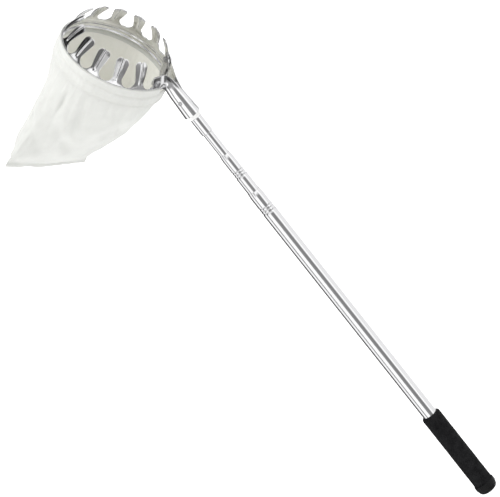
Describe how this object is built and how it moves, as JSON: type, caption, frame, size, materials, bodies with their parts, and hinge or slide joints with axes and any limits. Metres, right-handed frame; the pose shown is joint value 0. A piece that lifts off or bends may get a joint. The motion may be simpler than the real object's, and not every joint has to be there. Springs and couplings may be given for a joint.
{
  "type": "fruit picker",
  "caption": "Hand-held fruit picker: a ring of inward-leaning steel fingers over a cotton bag, on a telescopic steel pole with a foam grip.",
  "frame": {"origin": "on the pole's axis at the middle of the foam grip, where a hand holds it", "axes": "+Z along the finger ring's axis and out of its mouth; +X from the ring towards the hand grip; the pole lies in the plane Y = 0 and slopes 30 degrees down towards +X"},
  "size_m": [0.7334, 0.1484, 0.3814],
  "materials": {
    "polished_steel": "mirror-polished stamped sheet",
    "plate_steel": "plain sheet",
    "fastener_steel": "zinc-plated, dulled",
    "tube_steel": "polished drawn tube",
    "white_nylon": "moulded",
    "black_foam": "closed-cell foam sleeve, finely mottled",
    "black_cap": "moulded, satin",
    "cotton": "plain-woven white cotton",
    "elastic": "braid-covered elastic"
  },
  "bodies": {
    "handle": {"handle_tube": "tube_steel", "foam_grip": "black_foam", "end_cap": "black_cap"},
    "middle_clip": {"middle_clip_upper": "white_nylon", "middle_clip_lower": "white_nylon"},
    "middle_section": {"middle_tube": "tube_steel"},
    "top_clip": {"top_clip_upper": "white_nylon", "top_clip_lower": "white_nylon"},
    "head": {"finger_ring": "polished_steel", "socket": "polished_steel", "backing_plates": "plate_steel", "wing_screws": "fastener_steel", "wing_nuts": "fastener_steel", "cross_rivet": "fastener_steel", "reducer_bush": "white_nylon", "tip_ferrule": "tube_steel", "top_tube": "tube_steel", "bag_hem": "cotton", "bag_body": "cotton", "bottom_seam": "cotton", "hem_elastic": "elastic"}
  },
  "joints": [
    {"name": "middle_slide", "type": "slide", "parent": "handle", "child": "middle_clip", "axis": [-0.866, 0, 0.5], "range_m": [-0.055, 0.35]},
    {"name": "middle_turn", "type": "hinge", "parent": "middle_clip", "child": "middle_section", "pos_m": [-0.02425, 0, 0.014], "axis": [-0.866, 0, 0.5], "continuous": true},
    {"name": "top_slide", "type": "slide", "parent": "middle_section", "child": "top_clip", "axis": [-0.866, 0, 0.5], "range_m": [-0.033, 0.35]},
    {"name": "top_turn", "type": "hinge", "parent": "top_clip", "child": "head", "pos_m": [-0.07188, 0, 0.0415], "axis": [-0.866, 0, 0.5], "continuous": true}
  ]
}
